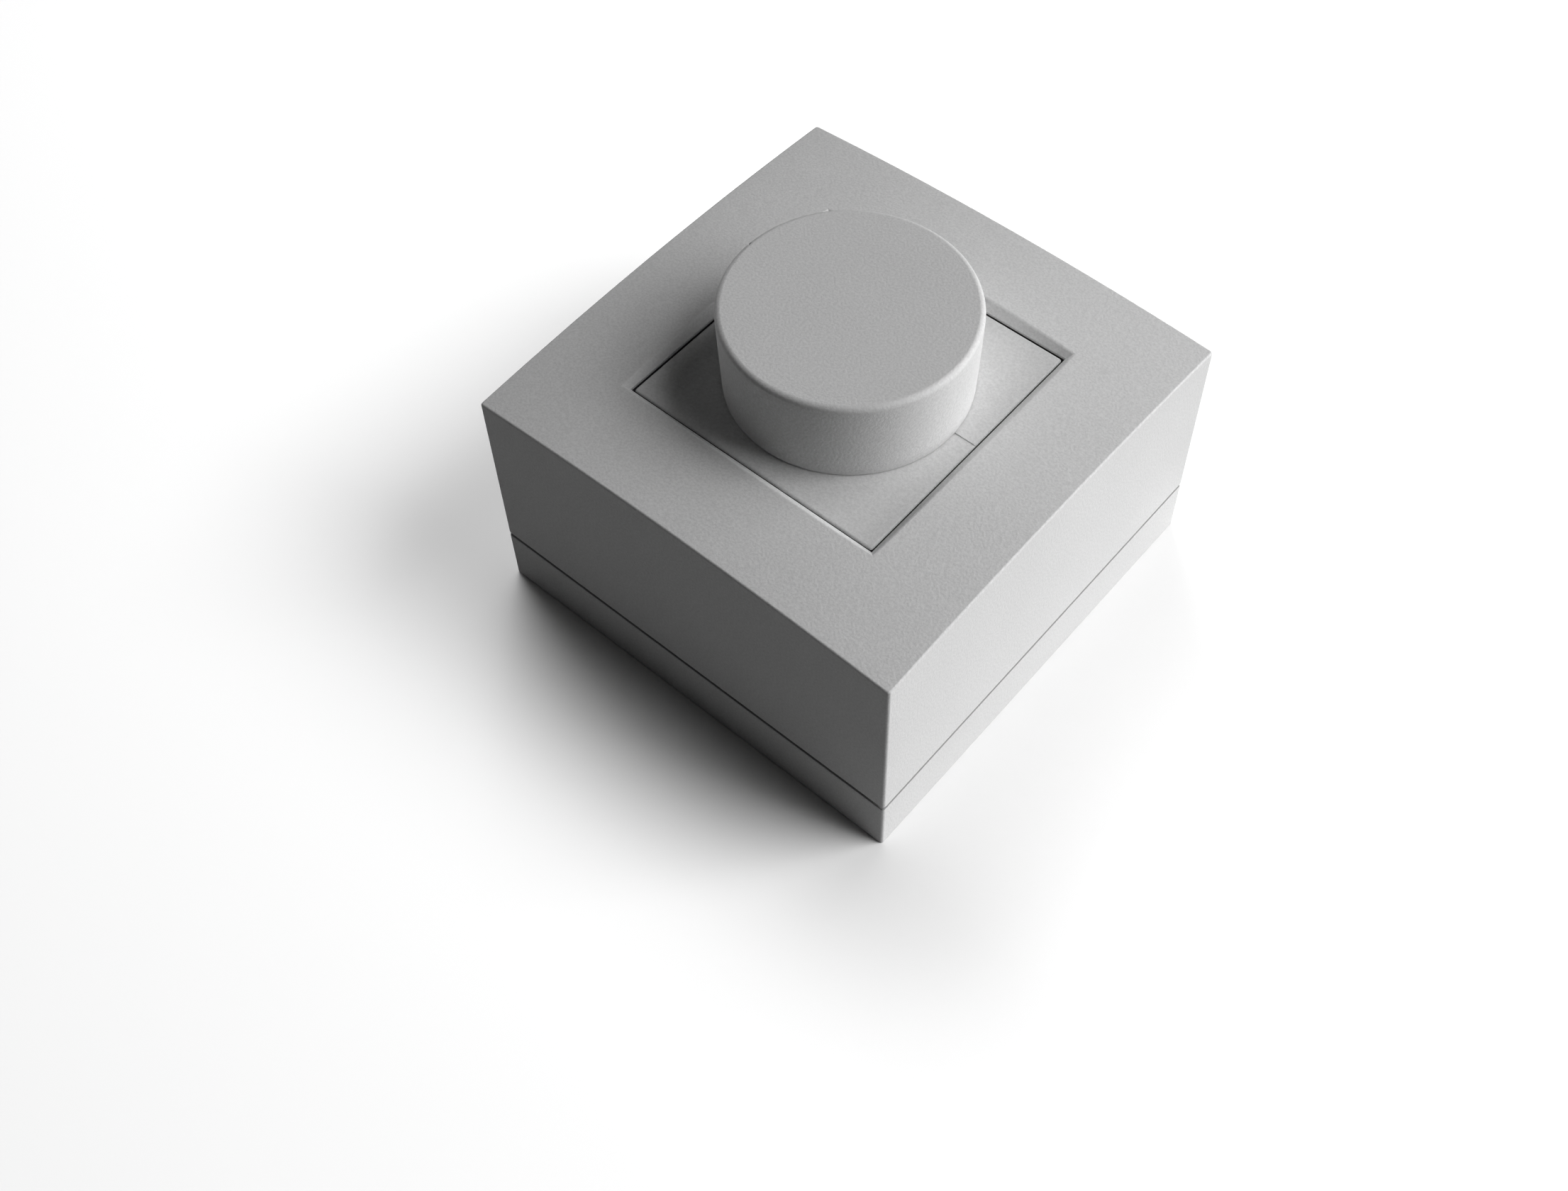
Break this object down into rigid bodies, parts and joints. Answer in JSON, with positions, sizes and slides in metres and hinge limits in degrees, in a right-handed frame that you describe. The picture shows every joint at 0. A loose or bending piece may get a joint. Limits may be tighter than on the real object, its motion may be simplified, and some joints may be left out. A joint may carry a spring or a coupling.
{
  "type": "rotary control switch",
  "caption": "Surface-mounted ventilation control switch: square box with a low base, a tall cover with a domed face, a square centre plate and a round rotary knob.",
  "frame": {"origin": "middle of the box's back face, which lies on the wall", "axes": "+Z along the knob's axis, away from the wall; -Y is the side that the centre plate's index mark points to; +X to the right"},
  "size_m": [0.08, 0.08, 0.0616],
  "materials": {
    "case_plastic": "fine-grained light grey moulding",
    "knob_plastic": "fine-grained light grey moulding",
    "dark_plastic": "glass-filled black moulding",
    "rotor_plastic": "natural bearing-grade plastic",
    "zinc_steel": "zinc-plated sheet and screws",
    "spring_steel": "bright spring strip",
    "contact_brass": "bare stamped brass",
    "bush_brass": "nickel-plated turned brass"
  },
  "bodies": {
    "switch_box": {"base": "case_plastic", "cover_frame": "case_plastic", "centre_plate": "case_plastic", "detent_spring_left": "spring_steel", "detent_spring_right": "spring_steel", "switch_housing": "dark_plastic", "housing_lid": "dark_plastic", "mounting_bracket": "zinc_steel", "spindle_bush": "bush_brass", "bush_washer": "zinc_steel", "bush_nut": "bush_brass", "contact_common": "contact_brass", "contact_speed_1": "contact_brass", "contact_speed_2": "contact_brass", "contact_speed_3": "contact_brass", "terminal_clamp_common": "contact_brass", "terminal_clamp_speed_1": "contact_brass", "terminal_clamp_speed_2": "contact_brass", "terminal_clamp_speed_3": "contact_brass", "bracket_screws": "zinc_steel", "housing_screws": "zinc_steel", "terminal_screws": "zinc_steel"},
    "knob_group": {"knob": "knob_plastic", "knob_clip": "spring_steel", "rotor_spindle": "rotor_plastic", "wiper_contact": "contact_brass"}
  },
  "joints": [
    {"name": "knob_turn", "type": "hinge", "parent": "switch_box", "child": "knob_group", "pos_m": [0, 0, 0.05], "axis": [0, 0, 1], "range_deg": [-45, 45], "deforming": ["detent_spring_left", "detent_spring_right"]}
  ]
}
